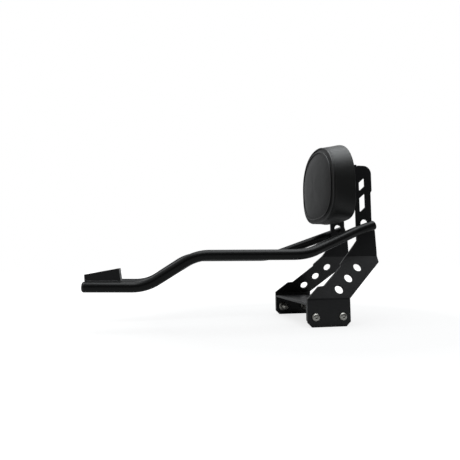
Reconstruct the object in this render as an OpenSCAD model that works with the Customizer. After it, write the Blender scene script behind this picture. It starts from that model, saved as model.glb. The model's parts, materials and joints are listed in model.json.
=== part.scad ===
// Motorcycle passenger backrest with side rails.
// X runs along the vehicle, rearward positive. Y runs across it. Z is up.
// The origin is the middle of the underside of the cross bridge, the face
// that sits over the rear mudguard.

/* [Side plates] */
// Thickness of the folded side plates
plate_t = 5; // [3:0.5:6]
// Width over the outer faces of the two lower flanges
flange_span = 237; // [220:1:260]
// Width over the outer faces of the two uprights
upright_span = 145; // [130:1:160]
// Length of a lower flange along the vehicle
flange_len = 97; // [90:1:110]
// Drop of the lower flanges below the underside of the bridge
flange_drop = 46; // [42:1:60]
// Height of the lower fold line
fold_low_z = 12.8; // [12:0.2:18]
// Height of the upper fold line
fold_high_z = 105; // [98:1:115]
// Height of the upright's flat top
upright_top_z = 317; // [305:1:330]
// Corner cut at the bottom of a flange
corner_cut = 10; // [4:1:14]
// Inside radius of the folds
fold_r = 6; // [4:0.5:8]
// Rearward rake of the sloping middle part, from the horizontal
rake = 39.8; // [38:0.2:42]
// Front edge of the upright
stem_front = 93; // [91:0.5:95]
// Width of the upright's stem
stem_w = 38.5; // [37:0.5:42]
// How far the base of the upright stands out behind the stem
base_out = 10; // [6:0.5:12]
// How far the head stands out behind the stem
head_out = 3; // [1:0.5:4]
// Height of the step below the head
head_z = 253; // [250:1:258]
// Front end of the brace below the stem
brace_x = 69; // [66:0.5:72]
// Height of the brace's top above the upper fold line
brace_h = 35; // [28:1:40]
// Radius of the head's top rear corner
head_r = 19; // [8:1:24]

/* [Holes] */
// Diameter of the round weight-saving holes
hole_d = 19.5; // [12:0.5:22]
// Spacing of the round holes along the rake
hole_pitch = 37; // [32:0.5:40]
// Height of the middle round hole
hole_mid_z = 55.6; // [54:0.2:58]
// Place of the middle round hole along the vehicle
hole_mid_x = 57; // [56:0.5:59]
// Width of the slanted windows in the upright
window_w = 15; // [10:0.5:18]
// Side height of the lower window
window_low_h = 33; // [24:1:36]
// Side height of the upper window
window_high_h = 20; // [12:1:24]
// Bottom corner of the lower window
window_low_z = 206; // [204:1:208]
// Bottom corner of the upper window
window_high_z = 256; // [254:1:259]

/* [Bridge] */
// Thickness of the folded bridge sheet
bridge_t = 5; // [3:0.5:5]
// Length of the bridge ears below its underside
ear_drop = 42; // [38:1:42]

/* [Flange fasteners] */
// Thread diameter of the flange bolts
bolt_d = 10; // [8:0.5:10]
// Distance between the two bolts of one flange
bolt_gap = 61; // [54:1:64]
// Height of the bolts below the bridge underside
bolt_drop = 25; // [22:1:28]
// Length of the bolts below the head
bolt_len = 38; // [30:1:45]
// Diameter of the button heads
head_d = 17.5; // [15:0.5:20]
// Height of the button heads
head_h = 5.5; // [4:0.5:6]
// Diameter of the flange of the nuts
nut_flange_d = 22; // [18:0.5:24]
// Height of the nuts
nut_h = 10; // [8:0.5:12]
// Width across the flats of the nuts
nut_af = 15; // [13:0.5:17]

/* [Rails] */
// Outer diameter of the rail tubes
rail_d = 22; // [18:0.5:25]
// Wall of the rail tubes
rail_wall = 2; // [1.5:0.25:3]
// Centre-line radius of the rail bends
rail_bend_r = 90; // [60:1:100]
// How far the rails reach ahead of the bridge's middle
rail_reach = 504; // [470:1:540]
// Length of the front stretch of a rail
rail_front_run = 120; // [110:1:130]
// Length of the rising stretch of a rail, along the vehicle
rail_rise_run = 101; // [95:1:110]
// Distance from the rear corner of the level stretch to the bridge's middle
rail_level_end = 57; // [50:1:70]
// Height of a rail's axis at its front end
rail_front_z = 45; // [40:1:55]
// Height of a rail's axis in its level stretch
rail_level_z = 107; // [100:1:115]
// Height of a rail's axis at its rear end
rail_end_z = 175.2; // [170:0.2:180]
// Distance of a rail's axis from the middle plane at its front end
rail_front_y = 82; // [76:1:92]
// Same distance at the front corner of the level stretch
rail_level_y = 118; // [110:1:126]
// Same distance at the rear corner of the level stretch
rail_wide_y = 142; // [134:1:150]

/* [Seat tab] */
// Thickness of the folded seat tab
tab_t = 4; // [3:0.5:5]
// Length of the seat tab along the rail
tab_len = 66; // [55:1:75]
// Height of the seat tab above the rail axis at its front
tab_front_h = 25; // [20:1:30]
// Height of the seat tab above the rail axis at its rear
tab_rear_h = 37; // [30:1:42]
// Reach of the folded end of the tab towards the middle
tab_reach = 40; // [34:1:46]
// Diameter of the tab's fixing hole
tab_hole_d = 8.5; // [6.5:0.5:10.5]

/* [Pad] */
// Width of the pad
pad_w = 198; // [180:1:220]
// Height of the pad
pad_h = 190; // [170:1:200]
// Depth of the pad at its side band
pad_band = 52; // [40:1:60]
// Crown of the front panel beyond the side band
pad_crown = 9; // [4:1:14]
// Height of the pad's middle
pad_mid_z = 281; // [278:1:290]
// Thickness of the pad's cover
cover_t = 2; // [1:0.25:3]
// Thickness of the base board
board_t = 8; // [6:0.5:12]
// Diameter of the piping round the front panel
piping_d = 5; // [4:0.5:6]

/* [Pad carrier] */
// Thickness of the folded carrier
carrier_t = 4; // [3:0.5:5]
// Height of the carrier
carrier_h = 100; // [80:1:104]
// Reach of the carrier's folded ends
carrier_reach = 22; // [18:1:26]
// How far the carrier's middle lies below the pad's middle
carrier_drop = 11; // [4:1:16]
// Diameter of the hole in the middle of the carrier
carrier_hole_d = 30; // [20:1:36]
// Distance across the pad screws
screw_span_y = 76; // [60:1:90]
// Distance up the pad screws
screw_span_z = 50; // [40:1:56]
// Thread diameter of the pad screws
screw_d = 6; // [5:0.5:8]
// Length of the pad screws below the head
screw_len = 16; // [14:1:20]
// Thickness of the washers under the pad screws
washer_t = 1.6; // [1:0.2:2]

/* [Hidden] */

// Faces of a full circle
$fn = 48;
// Straight pieces in the arc of a fold or corner
ARC_STEPS = 6;
// Sides of a rail tube, and rings in each of its bends
RAIL_SIDES = 28;
RAIL_BEND_STEPS = 6;
// Clearance between curved faces that meet
GAP = 0.3;
// Clearance round a bolt in its hole
BOLT_GAP = 0.5;
// Overrun of cutting tools
CUT = 1;

flange_y = flange_span / 2;
upright_y = upright_span / 2;
// Inner face of the flanges and of the uprights
flange_in = flange_y - plate_t;
upright_in = upright_y - plate_t;
stem_back = stem_front + stem_w;
base_back = stem_back + base_out;
head_back = stem_back + head_out;
lean = atan2(flange_y - upright_y, fold_high_z - fold_low_z);
rise = tan(rake);
// Middle of the stem, where its windows and hole are centred
stem_mid = stem_front + stem_w / 2 - 2;

function unit(v) = v / norm(v);

// Points of the arc that rounds the corner p between a and b
function corner_arc(a, p, b, r) =
    let (u = unit(a - p), w = unit(b - p), half = acos(u * w) / 2,
         c = p + unit(u + w) * r / sin(half),
         s = p + u * r / tan(half), e = p + w * r / tan(half),
         t0 = atan2(s.y - c.y, s.x - c.x), t1 = atan2(e.y - c.y, e.x - c.x),
         turn = (t1 - t0 + 540) % 360 - 180)
    [for (i = [0:ARC_STEPS]) c + r * [cos(t0 + turn * i / ARC_STEPS), sin(t0 + turn * i / ARC_STEPS)]];

// Puts a child drawn in Y and Z along X, from x0 to x1
module along_x(x0, x1) {
    translate([x0, 0, 0]) rotate([90, 0, 90]) linear_extrude(x1 - x0) children();
}

// Puts a child drawn in X and Z along Y, from y0 to y1
module along_y(y0, y1) {
    translate([0, y1, 0]) rotate([90, 0, 0]) linear_extrude(y1 - y0) children();
}

// A cylinder along Y
module pin_y(x, z, d, y0, y1) {
    translate([x, y1, z]) rotate([90, 0, 0]) cylinder(d = d, h = y1 - y0);
}

// Folded section of a right-hand side plate, in Y and Z
module plate_section() {
    mitre = [-plate_t, -plate_t * tan(lean / 2)];
    foot = [flange_y, -flange_drop];
    low = [flange_y, fold_low_z];
    high = [upright_y, fold_high_z];
    top = [upright_y, upright_top_z];
    polygon(concat(
        [foot],
        corner_arc(foot, low, high, fold_r + plate_t),
        corner_arc(low, high, top, fold_r),
        [top, top - [plate_t, 0]],
        corner_arc(top + mitre, high + mitre, low + mitre, fold_r + plate_t),
        corner_arc(high + mitre, low + mitre, foot + mitre, fold_r),
        [foot - [plate_t, 0]]));
}

// Side view of a side plate, in X and Z
module plate_outline() {
    half = flange_len / 2;
    notch_x = -18;
    notch_len = 12;
    front_low = fold_low_z + rise * (notch_x + half);
    jog_x = 46;
    jog_z = fold_low_z + rise * (jog_x + half - notch_len);
    jog_h = 5;
    brace_foot = [brace_x, fold_high_z + 4];
    brace_top = [stem_front, fold_high_z + brace_h];
    base_z = fold_low_z + rise * (base_back - half);
    rear_top = [head_back, upright_top_z];
    polygon(concat(
        [[-half, corner_cut - flange_drop], [corner_cut - half, -flange_drop],
         [half - corner_cut, -flange_drop], [half, corner_cut - flange_drop],
         [half, fold_low_z], [base_back, base_z], [base_back, fold_high_z + 8],
         [base_back - 2.5, tube_z - 14], [stem_back, tube_z + 8],
         [stem_back, head_z], [head_back, head_z + 5]],
        corner_arc([head_back, head_z], rear_top, [stem_front, upright_top_z], head_r),
        [[stem_front + 8, upright_top_z], [stem_front, upright_top_z - 8],
         brace_top, brace_foot, [jog_x, jog_z + jog_h], [jog_x, jog_z],
         [notch_x + notch_len + 2, front_low + 1.5], [notch_x, front_low], [-half, fold_low_z]]));
}

// Slanted window: upright sides and ends that rise to the rear, sharp corners cut
module window(z, h) {
    x0 = stem_mid - window_w / 2;
    x1 = stem_mid + window_w / 2;
    slant = window_w * 0.85;
    nip = 3;
    polygon([[x0, z + nip], [x0 + nip * 0.6, z + 1], [x1, z + slant], [x1, z + slant + h - nip],
             [x1 - nip * 0.6, z + slant + h - 1], [x0, z + h]]);
}

// A right-hand side plate
module side_plate() {
    difference() {
        intersection() {
            along_x(-flange_len, base_back + flange_len) plate_section();
            along_y(0, flange_y + CUT) plate_outline();
        }
        for (sx = [-1, 1])
            pin_y(sx * bolt_gap / 2, -bolt_drop, bolt_d + 2 * BOLT_GAP, flange_in - CUT, flange_y + CUT);
        along_y(upright_in - CUT, upright_y + CUT) {
            window(window_low_z, window_low_h);
            window(window_high_z, window_high_h);
        }
        pin_y(stem_mid + 3, tube_z + 3, hole_d, upright_in - CUT, upright_y + CUT);
        for (i = [-1:1]) {
            z = hole_mid_z + i * hole_pitch * sin(rake);
            y = flange_y - (z - fold_low_z) * tan(lean);
            translate([hole_mid_x + i * hole_pitch * cos(rake), y, z]) rotate([lean - 90, 0, 0])
                cylinder(d = hole_d, h = 4 * plate_t, center = true);
        }
    }
}

// The bridge: a flat top with two ears folded down inside the flanges
module bridge_section() {
    out = flange_in;
    inn = flange_in - bridge_t;
    tl = [-out, bridge_t];
    tr = [out, bridge_t];
    polygon(concat(
        [[out, -ear_drop]], corner_arc([out, -ear_drop], tr, tl, fold_r / 2 + bridge_t),
        corner_arc(tr, tl, [-out, -ear_drop], fold_r / 2 + bridge_t),
        [[-out, -ear_drop], [-inn, -ear_drop]],
        corner_arc([-inn, -ear_drop], [-inn, 0], [0, 0], fold_r / 2),
        corner_arc([0, 0], [inn, 0], [inn, -ear_drop], fold_r / 2),
        [[inn, -ear_drop]]));
}

module bridge_outline() {
    half = flange_len / 2;
    cut = corner_cut;
    polygon([[-half, cut - ear_drop], [cut - half, -ear_drop], [half - cut, -ear_drop],
             [half, cut - ear_drop], [half, bridge_t + CUT], [-half, bridge_t + CUT]]);
}

module cross_bridge() {
    color([0.16, 0.16, 0.17])
    difference() {
        intersection() {
            along_x(-flange_len, flange_len) bridge_section();
            along_y(-flange_y, flange_y) bridge_outline();
        }
        for (sx = [-1, 1])
            pin_y(sx * bolt_gap / 2, -bolt_drop, bolt_d + 2 * BOLT_GAP, -flange_y, flange_y);
    }
}

// Corner points of a right-hand rail's centre line, front to rear
rail_seat_y = upright_y + rail_d / 2 + GAP;
rail_low_x = rail_front_run - rail_reach;
rail_points = [
    [-rail_reach, rail_front_y, rail_front_z],
    [rail_low_x, rail_front_y + 8, rail_front_z - 2],
    [rail_low_x + rail_rise_run, rail_level_y, rail_level_z],
    [-rail_level_end, rail_wide_y, rail_level_z],
    [stem_front - 7, rail_seat_y, rail_end_z - 14.2],
    [stem_back - 3, rail_seat_y, rail_end_z]];
// Height at which the rail crosses the back of the stem
tube_z = rail_end_z + 1.8;

// Direction of stretch i of the rail
function run_dir(i) = unit(rail_points[i + 1] - rail_points[i]);
// Angle turned at corner i, and the straight length that its bend takes up
function bend_angle(i) = acos(run_dir(i - 1) * run_dir(i));
function bend_trim(i) = i == 0 || i == len(rail_points) - 1 ? 0 : rail_bend_r * tan(bend_angle(i) / 2);

// Matrix that carries X, Y and Z to three axes at a place
function placed(ax, ay, az, o) =
    [[ax.x, ay.x, az.x, o.x], [ax.y, ay.y, az.y, o.y], [ax.z, ay.z, az.z, o.z], [0, 0, 0, 1]];
// Axes with Z along d, and any X across it
function across(d) = unit(cross([0, 1, 0], d));

// Turns v about the unit axis n by the angle a
function turned(v, n, a) = v * cos(a) + cross(n, v) * sin(a) + n * (n * v) * (1 - cos(a));

// Places and directions of the rail's rings through the bend at corner i
function bend_rings(i) =
    let (d0 = run_dir(i - 1), n = unit(cross(d0, run_dir(i))), out = cross(d0, n),
         c = rail_points[i] - d0 * bend_trim(i) - out * rail_bend_r)
    [for (k = [0:RAIL_BEND_STEPS]) let (a = bend_angle(i) * k / RAIL_BEND_STEPS)
        [c + turned(out, n, a) * rail_bend_r, turned(d0, n, a)]];

// One ring of the rail round the place r[0], square to the direction r[1]
function rail_ring(r, rad) =
    let (x = across(r[1]), y = cross(r[1], x))
    [for (k = [0:RAIL_SIDES - 1]) r[0] + rad * (x * cos(360 * k / RAIL_SIDES) + y * sin(360 * k / RAIL_SIDES))];

// A right-hand rail: a round tube swept along straight runs and round bends
module rail() {
    n = RAIL_SIDES;
    last = len(rail_points) - 1;
    path = concat([[rail_points[0], run_dir(0)]], [for (i = [1:last - 1]) each bend_rings(i)],
        [[rail_points[last], run_dir(last - 1)]]);
    m = len(path);
    rad = rail_d / 2;
    points = concat([for (r = path) each rail_ring(r, rad)], [for (r = path) each rail_ring(r, rad - rail_wall)]);
    inner = m * n;
    faces = [for (k = [0:m - 2], i = [0:n - 1])
        let (j = (i + 1) % n, a = k * n, b = (k + 1) * n)
        each [[a + i, b + i, b + j], [a + i, b + j, a + j],
              [inner + a + i, inner + b + j, inner + b + i], [inner + a + i, inner + a + j, inner + b + j]]];
    ends = [for (i = [0:n - 1])
        let (j = (i + 1) % n, z = (m - 1) * n)
        each [[i, j, inner + j], [i, inner + j, inner + i],
              [z + j, z + i, inner + z + i], [z + j, inner + z + i, inner + z + j]]];
    polyhedron(points = points, faces = concat(faces, ends));
}

// Domed plug at the front of a rail: a stem in the bore and a rounded cap
module front_plug() {
    d = -run_dir(0);
    x = across(d);
    cap = 5.5;
    r = rail_d / 2;
    round_r = 4.5;
    multmatrix(placed(x, cross(d, x), d, rail_points[0])) rotate_extrude()
        polygon(concat([[0, -14], [r - rail_wall - GAP, -14], [r - rail_wall - GAP, 0], [r, 0]],
            corner_arc([r, 0], [r, cap], [0, cap], round_r), [[0, cap]]));
}

// Flat plug in the rear end of a rail
module rear_plug() {
    d = run_dir(len(rail_points) - 2);
    x = across(d);
    r = rail_d / 2;
    multmatrix(placed(x, cross(d, x), d, rail_points[len(rail_points) - 1])) rotate_extrude()
        polygon([[0, -12], [r - rail_wall - GAP, -12], [r - rail_wall - GAP, 0], [r - 0.5, 0],
                 [r - 0.5, 1.2], [r - 1.3, 2], [0, 2]]);
}

// Folded tab on the left rail: a wedge-shaped web on the tube and an end turned inwards
module seat_tab() {
    a = rail_points[0];
    d = run_dir(0);
    y_out = -(a.y + 2);
    foot = rail_d / 2 + GAP;
    back = a.x + tab_len;
    nose_z = a.z + foot;
    tail_z = a.z + d.z / d.x * tab_len + foot;
    top0 = a.z + tab_front_h;
    top1 = a.z + tab_rear_h;
    lean_x = 4;
    color([0.07, 0.07, 0.075])
    difference() {
        union() {
            along_y(y_out, y_out + tab_t)
                polygon([[a.x - 0.5, nose_z], [back + lean_x, nose_z], [back, top1], [a.x - 1.5, top0]]);
            along_y(y_out, y_out + tab_reach)
                polygon([[back + lean_x - tab_t, nose_z], [back + lean_x, nose_z],
                         [back, top1], [back - tab_t, top1 - 0.7]]);
        }
        translate([back, y_out + tab_reach / 2 + 4, a.z + foot + 11]) rotate([0, 90, 0])
            cylinder(d = tab_hole_d, h = 8 * tab_t, center = true);
    }
}

// The pad
pad_back = stem_front - 14;
band_front = pad_back - pad_band;
board_front = pad_back - board_t;
// Depth of the wells in the foam over the inserts
screw_well = screw_len - 2;
// Inset of the pad's back edge
back_inset = 7;
PAD_STEPS = 56;
// Squareness of the pad's outline: rounder above its middle than below
PAD_TOP_SQUARE = 2.3;
PAD_LOW_SQUARE = 4.0;

function signed_power(v, p) = sign(v) * pow(abs(v), p);
// Rounded-square ring of the pad, drawn in by inset, at the place x
function pad_ring(x, inset) = [for (i = [0:PAD_STEPS - 1])
    let (t = 360 * i / PAD_STEPS, p = 2 / (sin(t) > 0 ? PAD_TOP_SQUARE : PAD_LOW_SQUARE))
    [x, (pad_w / 2 - inset) * signed_power(cos(t), p), pad_mid_z + (pad_h / 2 - inset) * signed_power(sin(t), p)]];
// Places and insets of the pad's rings, from its crown to its back
pad_rings = [
    [-pad_crown, 72], [-0.94 * pad_crown, 56], [-0.8 * pad_crown, 40], [-0.56 * pad_crown, 24],
    [-0.3 * pad_crown, 12], [-0.5, 5.5], [1.6, 2.2], [4, 0.4], [pad_band * 0.5, 0],
    [pad_band - 9, 0.8], [pad_band - 4, 3], [pad_band, back_inset]];

// Closed form through a list of rings
module loft(rings) {
    n = PAD_STEPS;
    last = len(rings) - 1;
    points = [for (r = rings) each r];
    faces = concat(
        [[for (i = [0:n - 1]) i]],
        [for (k = [0:last - 1], i = [0:n - 1]) let (j = (i + 1) % n) [k * n + i, (k + 1) * n + i, (k + 1) * n + j]],
        [for (k = [0:last - 1], i = [0:n - 1]) let (j = (i + 1) % n) [k * n + i, (k + 1) * n + j, k * n + j]],
        [[for (i = [n - 1:-1:0]) last * n + i]]);
    polyhedron(points = points, faces = faces);
}

// The pad's form, drawn in all round by skin
module pad_form(skin, x_end) {
    loft(concat(
        [for (r = pad_rings) if (band_front + r[0] + skin < x_end - 2) pad_ring(band_front + r[0] + skin, r[1] + skin)],
        [pad_ring(x_end, (x_end > pad_back - 3 ? back_inset : 1.5) + skin)]));
}

module pad_cover() {
    color([0.10, 0.10, 0.10])
    difference() {
        pad_form(0, pad_back);
        pad_form(cover_t, board_front);
        loft([pad_ring(board_front - CUT, back_inset + cover_t), pad_ring(pad_back + CUT, back_inset + cover_t)]);
    }
}

module pad_foam() {
    color([0.85, 0.80, 0.62])
    difference() {
        pad_form(cover_t + GAP, board_front - GAP);
        for (y = [-1, 1], z = [-1, 1])
            translate([board_front - screw_well, y * screw_span_y / 2, pad_mid_z + z * screw_span_z / 2])
                rotate([0, 90, 0]) cylinder(d = 3.2 * screw_d + 2, h = screw_well + CUT);
    }
}

module pad_board() {
    color([0.45, 0.33, 0.20])
    difference() {
        loft([pad_ring(board_front, back_inset + cover_t + GAP), pad_ring(pad_back, back_inset + cover_t + GAP)]);
        screw_places() cylinder(d = screw_d + 4, h = 8 * board_t, center = true);
    }
}

module pad_piping() {
    color([0.05, 0.05, 0.05])
    difference() {
        loft([pad_ring(band_front - piping_d / 2, 8), pad_ring(band_front - piping_d / 4, 4.5),
              pad_ring(band_front + piping_d / 4, 1.4), pad_ring(band_front + piping_d / 2, 0.6)]);
        pad_form(-GAP, pad_back);
    }
}

// Places its child at each pad screw, pointing rearward
module screw_places() {
    for (y = [-1, 1], z = [-1, 1])
        translate([pad_back, y * screw_span_y / 2, pad_mid_z + z * screw_span_z / 2]) rotate([0, 90, 0]) children();
}

module pad_inserts() {
    color([0.75, 0.70, 0.45])
    screw_places() difference() {
        union() {
            translate([0, 0, -board_t]) cylinder(d = screw_d + 4 - GAP, h = board_t - 0.5);
            translate([0, 0, -board_t - 1.5]) cylinder(d = 3.2 * screw_d, h = 1.5);
        }
        translate([0, 0, -2 * board_t]) cylinder(d = screw_d + 0.2, h = 3 * board_t);
    }
}

module pad_screws() {
    under_head = carrier_t + washer_t;
    color([0.2, 0.2, 0.2])
    screw_places() difference() {
        union() {
            translate([0, 0, under_head - screw_len]) cylinder(d = screw_d, h = screw_len);
            translate([0, 0, under_head]) cylinder(d = 1.7 * screw_d, h = 0.66 * screw_d);
        }
        translate([0, 0, under_head + 0.3 * screw_d]) cylinder(d = 0.9 * screw_d, h = screw_d, $fn = 6);
    }
}

module pad_washers() {
    color([0.35, 0.35, 0.36])
    screw_places() translate([0, 0, carrier_t]) difference() {
        cylinder(d = 2 * screw_d, h = washer_t);
        translate([0, 0, -CUT]) cylinder(d = screw_d + 0.4, h = washer_t + 2 * CUT);
    }
}

// Carrier between the uprights: a web behind the pad with its ends folded back
module carrier_section() {
    out = upright_in;
    reach = carrier_reach;
    r = carrier_t * 1.5;
    x0 = pad_back;
    polygon(concat(
        [[x0 + reach, out]], corner_arc([x0 + reach, out], [x0, out], [x0, 0], r),
        corner_arc([x0, 0], [x0, -out], [x0 + reach, -out], r),
        [[x0 + reach, -out], [x0 + reach, carrier_t - out]],
        corner_arc([x0 + reach, carrier_t - out], [x0 + carrier_t, carrier_t - out], [x0 + carrier_t, 0], r - carrier_t),
        corner_arc([x0 + carrier_t, 0], [x0 + carrier_t, out - carrier_t], [x0 + reach, out - carrier_t], r - carrier_t),
        [[x0 + reach, out - carrier_t]]));
}

module pad_carrier() {
    color([0.09, 0.09, 0.095])
    difference() {
        translate([0, 0, pad_mid_z - carrier_drop - carrier_h / 2]) linear_extrude(carrier_h) carrier_section();
        screw_places() cylinder(d = screw_d + 0.6, h = 8 * carrier_t, center = true);
        translate([pad_back, 0, pad_mid_z - carrier_drop]) rotate([0, 90, 0]) cylinder(d = carrier_hole_d, h = 8 * carrier_t, center = true);
    }
}

// Button-head bolt of the right-hand side: its head outside, its shank towards the middle
module bolt(x) {
    socket_af = 0.6 * bolt_d;
    r = head_d / 2;
    color([0.62, 0.60, 0.56])
    translate([x, flange_y, -bolt_drop]) rotate([-90, 0, 0]) difference() {
        union() {
            rotate_extrude() polygon([[0, 0], [r, 0], [r, 0.14 * head_h], [0.93 * r, 0.42 * head_h],
                [0.78 * r, 0.72 * head_h], [0.58 * r, 0.93 * head_h], [0.42 * r, head_h], [0, head_h]]);
            translate([0, 0, -bolt_len]) cylinder(d = bolt_d, h = bolt_len);
        }
        translate([0, 0, head_h - 0.55 * bolt_d + 2]) cylinder(d = socket_af / cos(30), h = bolt_d, $fn = 6);
    }
}

// Flange nut against the inside of a bridge ear
module nut(x) {
    rim = 2;
    seat = flange_in - bridge_t;
    color([0.66, 0.65, 0.62])
    translate([x, seat, -bolt_drop]) rotate([90, 0, 0]) difference() {
        union() {
            cylinder(d = nut_flange_d, h = rim);
            cylinder(d1 = nut_flange_d - 1, d2 = nut_af, h = rim + 2);
            intersection() {
                cylinder(d = nut_af / cos(30), h = nut_h, $fn = 6);
                cylinder(d = nut_af / cos(30) - 0.8, h = nut_h);
            }
        }
        translate([0, 0, -CUT]) cylinder(d = bolt_d + 0.2, h = nut_h + 2 * CUT);
    }
}

module steel() {
    color([0.11, 0.11, 0.115]) children();
}

module left() {
    mirror([0, 1, 0]) children();
}

steel() left() side_plate();  // side_plate_left
steel() side_plate();  // side_plate_right
cross_bridge();
steel() left() rail();  // rail_left
steel() rail();  // rail_right
color([0.05, 0.05, 0.05]) left() front_plug();  // front_plug_left
color([0.05, 0.05, 0.05]) front_plug();  // front_plug_right
color([0.05, 0.05, 0.05]) left() rear_plug();  // rear_plug_left
color([0.05, 0.05, 0.05]) rear_plug();  // rear_plug_right
seat_tab();
pad_carrier();
pad_board();
pad_foam();
pad_cover();
pad_piping();
pad_inserts();
pad_screws();
pad_washers();
left() bolt(-bolt_gap / 2);  // bolt_front_left
left() bolt(bolt_gap / 2);  // bolt_rear_left
bolt(-bolt_gap / 2);  // bolt_front_right
bolt(bolt_gap / 2);  // bolt_rear_right
left() nut(-bolt_gap / 2);  // nut_front_left
left() nut(bolt_gap / 2);  // nut_rear_left
nut(-bolt_gap / 2);  // nut_front_right
nut(bolt_gap / 2);  // nut_rear_right
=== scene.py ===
"""Passenger backrest for a motorcycle: folded plates, bent rails and an upholstered pad."""
import json
import math
from functools import cache

import bmesh
import bpy
from bpy.props import FloatProperty, FloatVectorProperty, PointerProperty
from mathutils import Matrix, Vector, noise
from mathutils.bvhtree import BVHTree


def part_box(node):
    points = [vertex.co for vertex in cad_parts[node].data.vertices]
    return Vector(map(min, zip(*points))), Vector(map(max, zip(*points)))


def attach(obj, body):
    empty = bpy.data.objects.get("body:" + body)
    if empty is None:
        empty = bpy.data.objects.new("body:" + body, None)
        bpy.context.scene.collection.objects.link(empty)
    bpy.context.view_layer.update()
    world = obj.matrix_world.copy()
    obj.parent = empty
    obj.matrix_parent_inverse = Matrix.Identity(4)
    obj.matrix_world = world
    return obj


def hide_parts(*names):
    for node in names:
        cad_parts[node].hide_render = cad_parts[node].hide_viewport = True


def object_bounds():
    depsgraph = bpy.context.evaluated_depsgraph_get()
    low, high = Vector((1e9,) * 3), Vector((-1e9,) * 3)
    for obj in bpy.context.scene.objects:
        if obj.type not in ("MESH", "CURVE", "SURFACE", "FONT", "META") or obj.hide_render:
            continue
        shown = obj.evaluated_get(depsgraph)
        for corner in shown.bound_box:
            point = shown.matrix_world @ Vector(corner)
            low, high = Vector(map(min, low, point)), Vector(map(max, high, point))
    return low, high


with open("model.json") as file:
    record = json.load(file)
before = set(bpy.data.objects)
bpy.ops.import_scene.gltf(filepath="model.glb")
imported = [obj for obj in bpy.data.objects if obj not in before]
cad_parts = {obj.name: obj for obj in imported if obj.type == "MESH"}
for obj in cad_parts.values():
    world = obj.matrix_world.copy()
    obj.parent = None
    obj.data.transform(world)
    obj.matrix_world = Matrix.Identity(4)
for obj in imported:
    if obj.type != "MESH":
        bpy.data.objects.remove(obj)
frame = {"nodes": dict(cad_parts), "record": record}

bl_info = {
    "name": "Motorcycle Backrest",
    "version": (1, 0, 0),
    "blender": (4, 5, 0),
    "location": "View3D > Sidebar > Backrest",
    "description": "Builds the plates, rails, pad and fasteners of a passenger backrest",
    "category": "Add Mesh",
}

MM = 0.001
CAD_BOX = [list(corner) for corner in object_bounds()]
PAD_LO, PAD_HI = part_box("pad_cover")
CARRIER_LO, CARRIER_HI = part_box("pad_carrier")
PAD_MIDDLE = (PAD_LO.z + PAD_HI.z) / 2
LEFT, RIGHT = -1, 1
SIDES = {"left": LEFT, "right": RIGHT}


def length(name, words, value, low=0.0):
    """A size in metres, shown in the sidebar in the scene's units."""
    return FloatProperty(name=name, description=words, default=value, min=low, unit="LENGTH", precision=5)


def colour(name, words, value):
    """A colour without alpha."""
    return FloatVectorProperty(name=name, description=words, default=value, size=3, min=0.0, max=1.0,
                               subtype="COLOR")


class BackrestSizes(bpy.types.PropertyGroup):
    """Sizes of the pieces that are finer than the solids."""
    rail_diameter: length("Rail diameter", "Outer diameter of the rail tubes", 22 * MM)
    rail_wall: length("Rail wall", "Wall of the rail tubes", 2 * MM)
    rail_bend: length("Rail bend radius", "Centre-line radius of the rail bends", 90 * MM)
    edge_round: length("Edge rounding", "Width of the rounding on the cut edges of the sheets", 0.6 * MM)
    weld_radius: length("Weld radius", "Half the width of a weld bead", 2.1 * MM)
    weld_step: length("Weld ripple", "Distance between two ripples of a weld", 1.5 * MM)
    welt_diameter: length("Welt diameter", "Diameter of each cord round the front panel", 3.4 * MM)
    stitch_step: length("Stitch pitch", "Distance between two stitches", 4.2 * MM)
    stitch_length: length("Stitch length", "Length of one stitch", 3.0 * MM)
    thread_thickness: length("Sewing thread", "Thickness of the sewing thread", 0.55 * MM)
    cover_thickness: length("Cover thickness", "Thickness of the vinyl", 1.2 * MM)
    wrap_width: length("Wrap width", "How far the cover is turned over the back of the board", 18 * MM)
    staple_step: length("Staple pitch", "Distance between two staples", 19 * MM)
    swell_limit: length("Swell limit", "Furthest that the pressure may move a point of the cover", 2.2 * MM)
    pucker: length("Pucker height", "Height of the small gathers beside the seams", 0.28 * MM)
    bolt_diameter: length("Bolt diameter", "Thread diameter of the flange bolts", 10 * MM)
    bolt_length: length("Bolt length", "Length of the flange bolts below the head", 38 * MM)
    head_diameter: length("Bolt head diameter", "Diameter of the button heads", 17.5 * MM)
    head_height: length("Bolt head height", "Height of the button heads", 5.5 * MM)
    screw_diameter: length("Pad screw diameter", "Thread diameter of the pad screws", 6 * MM)
    screw_length: length("Pad screw length", "Length of the pad screws below the head", 16 * MM)
    nut_flange: length("Nut flange", "Diameter of the flange nuts' flange", 22 * MM)
    nut_flats: length("Nut width", "Distance across the flats of the flange nuts", 15 * MM)
    nut_height: length("Nut height", "Height of the flange nuts", 10 * MM)
    carrier_sheet: length("Carrier sheet", "Thickness of the sheet that carries the pad", 4 * MM)
    washer_sheet: length("Washer thickness", "Thickness of the pad's washers", 1.6 * MM)


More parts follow.
